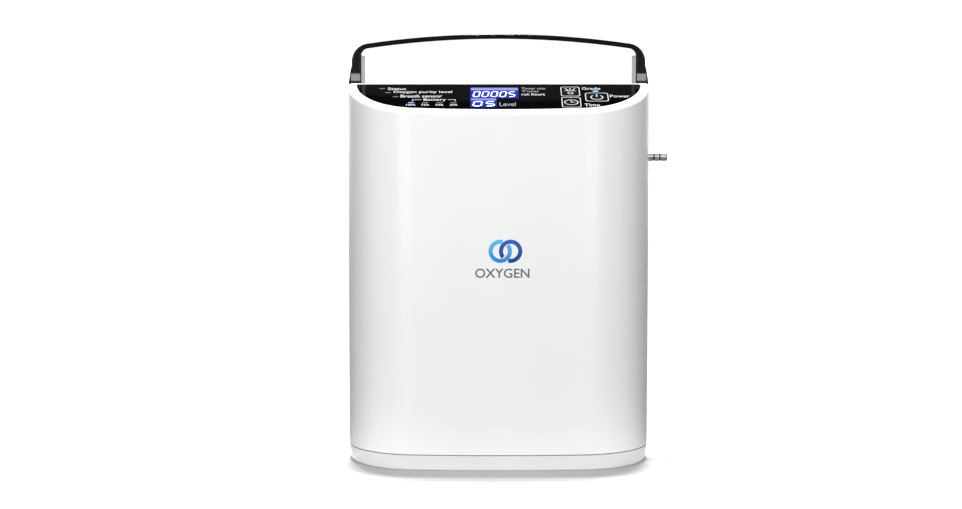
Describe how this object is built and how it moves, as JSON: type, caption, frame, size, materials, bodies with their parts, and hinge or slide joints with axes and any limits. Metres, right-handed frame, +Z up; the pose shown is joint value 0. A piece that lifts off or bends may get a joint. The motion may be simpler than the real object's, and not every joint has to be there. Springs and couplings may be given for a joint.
{
  "type": "portable oxygen concentrator",
  "caption": "Slim upright portable oxygen concentrator with a round-ended white casing, sloping black control panel, folding bow handle, side outlet nozzle and slide-out battery base.",
  "frame": {"origin": "middle of the underside, on the surface that the unit stands on, in the plane where the two shells meet", "axes": "+Z up through the handle, -Y towards the display side, +X towards the oxygen outlet"},
  "size_m": [0.1923, 0.0882, 0.2558],
  "materials": {
    "shell_white": "smooth moulded glossy white casing",
    "base_white": "smooth moulded glossy white base cap",
    "panel_black": "piano black panel",
    "handle_black": "polished black handle",
    "cover_grey": "fine satin pale grey",
    "key_black": "satin black key caps",
    "lens_clear": "clear window over a blue display",
    "lcd_grey": "display module",
    "lamp_lens": "frosted light guides",
    "nickel": "turned and nickel plated brass",
    "steel": "zinc plated screws and plates",
    "alu": "cast and turned aluminium",
    "iron": "dark motor can and laminations",
    "rubber": "moulded feet, buffers and seals",
    "silicone": "translucent silicone hose",
    "foam": "open cell filter foam",
    "filter_paper": "pleated filter medium in its case",
    "pcb": "green solder mask",
    "abs_black": "fan, coils and sockets",
    "abs_grey": "inner frame and battery case",
    "cell_wrap": "shrink wrapped cells",
    "zeolite": "packed beads",
    "brass": "cooling coil",
    "nylon": "tank and column caps",
    "base_vent": "intake cover"
  },
  "bodies": {
    "housing": {"battery_socket": "abs_black", "casing_screws": "steel", "column_caps": "nylon", "column_springs": "steel", "compressor_mounts": "rubber", "control_panel": "panel_black", "cooling_coil": "brass", "crank_bearings": "steel", "crankcase": "alu", "cylinder_heads": "alu", "cylinders": "alu", "dc_jack": "abs_black", "display_board": "pcb", "exhaust_muffler": "nylon", "fan_frame": "abs_black", "front_shell": "shell_white", "handle_pivots": "steel", "head_screws": "steel", "hoses": "silicone", "indicator_lamps": "lamp_lens", "inner_frame": "abs_grey", "intake_filter": "filter_paper", "latch_springs": "steel", "lcd_module": "lcd_grey", "lcd_window": "lens_clear", "main_board": "pcb", "motor_case": "iron", "motor_stator": "iron", "outlet_nut": "nickel", "outlet_seal": "rubber", "oxygen_outlet": "nickel", "oxygen_sensor": "abs_black", "product_tank": "nylon", "rear_shell": "shell_white", "sieve_beds": "zeolite", "sieve_columns": "alu", "valve_coils": "abs_black", "valve_manifold": "alu", "valve_plates": "steel"},
    "handle": {"handle_frame": "handle_black", "handle_leg_covers": "cover_grey"},
    "level_button": {"level_key": "key_black"},
    "timer_button": {"timer_key": "key_black"},
    "power_button": {"power_key": "key_black"},
    "battery_pack": {"base_cap": "base_white", "rubber_feet": "rubber", "battery_case": "abs_grey", "battery_cells": "cell_wrap", "battery_board": "pcb"},
    "latch": {"battery_latch": "cover_grey"},
    "intake_cover": {"filter_door": "base_vent", "filter_foam": "foam"},
    "fan": {"fan_rotor": "abs_black"},
    "crank": {"crankshaft": "steel"},
    "left_piston": {"piston_left": "alu"},
    "right_piston": {"piston_right": "alu"},
    "left_feed_plunger": {"feed_valve_left_plunger": "iron"},
    "right_feed_plunger": {"feed_valve_right_plunger": "iron"},
    "dose_plunger": {"dose_valve_plunger": "iron"}
  },
  "joints": [
    {"name": "handle_fold", "type": "hinge", "parent": "housing", "child": "handle", "pos_m": [0, 0.0085, 0.216], "axis": [-1, 0, 0], "range_deg": [0, 90]},
    {"name": "level_press", "type": "slide", "parent": "housing", "child": "level_button", "axis": [0, 0.3387, -0.9409], "range_m": [0, 0.0006], "stiffness_N_per_m": 600, "springref_m": -0.0002},
    {"name": "timer_press", "type": "slide", "parent": "housing", "child": "timer_button", "axis": [0, 0.3387, -0.9409], "range_m": [0, 0.0006], "stiffness_N_per_m": 600, "springref_m": -0.0002},
    {"name": "power_press", "type": "slide", "parent": "housing", "child": "power_button", "axis": [0, 0.3387, -0.9409], "range_m": [0, 0.0006], "stiffness_N_per_m": 600, "springref_m": -0.0002},
    {"name": "battery_slide", "type": "slide", "parent": "housing", "child": "battery_pack", "axis": [0, 0, -1], "range_m": [0, 0.055]},
    {"name": "latch_press", "type": "slide", "parent": "housing", "child": "latch", "axis": [0, -1, 0], "range_m": [0, 0.0015], "stiffness_N_per_m": 1500, "springref_m": -0.001},
    {"name": "intake_cover_pull", "type": "slide", "parent": "housing", "child": "intake_cover", "axis": [0, 1, 0], "range_m": [0, 0.03]},
    {"name": "fan_spin", "type": "hinge", "parent": "housing", "child": "fan", "pos_m": [0, 0.034, 0.158], "axis": [0, 1, 0], "continuous": true},
    {"name": "crank_spin", "type": "hinge", "parent": "housing", "child": "crank", "pos_m": [0, 0, 0.084], "axis": [0, 1, 0], "continuous": true},
    {"name": "left_piston_stroke", "type": "slide", "parent": "housing", "child": "left_piston", "axis": [1, 0, 0], "range_m": [-0.0025, 0.0025]},
    {"name": "right_piston_stroke", "type": "slide", "parent": "housing", "child": "right_piston", "axis": [1, 0, 0], "range_m": [-0.0025, 0.0025]},
    {"name": "left_feed_valve_lift", "type": "slide", "parent": "housing", "child": "left_feed_plunger", "axis": [0, 0, 1], "range_m": [0, 0.0015], "stiffness_N_per_m": 200, "springref_m": -0.001},
    {"name": "right_feed_valve_lift", "type": "slide", "parent": "housing", "child": "right_feed_plunger", "axis": [0, 0, 1], "range_m": [0, 0.0015], "stiffness_N_per_m": 200, "springref_m": -0.001},
    {"name": "dose_valve_lift", "type": "slide", "parent": "housing", "child": "dose_plunger", "axis": [0, 0, 1], "range_m": [0, 0.0015], "stiffness_N_per_m": 200, "springref_m": -0.001}
  ]
}
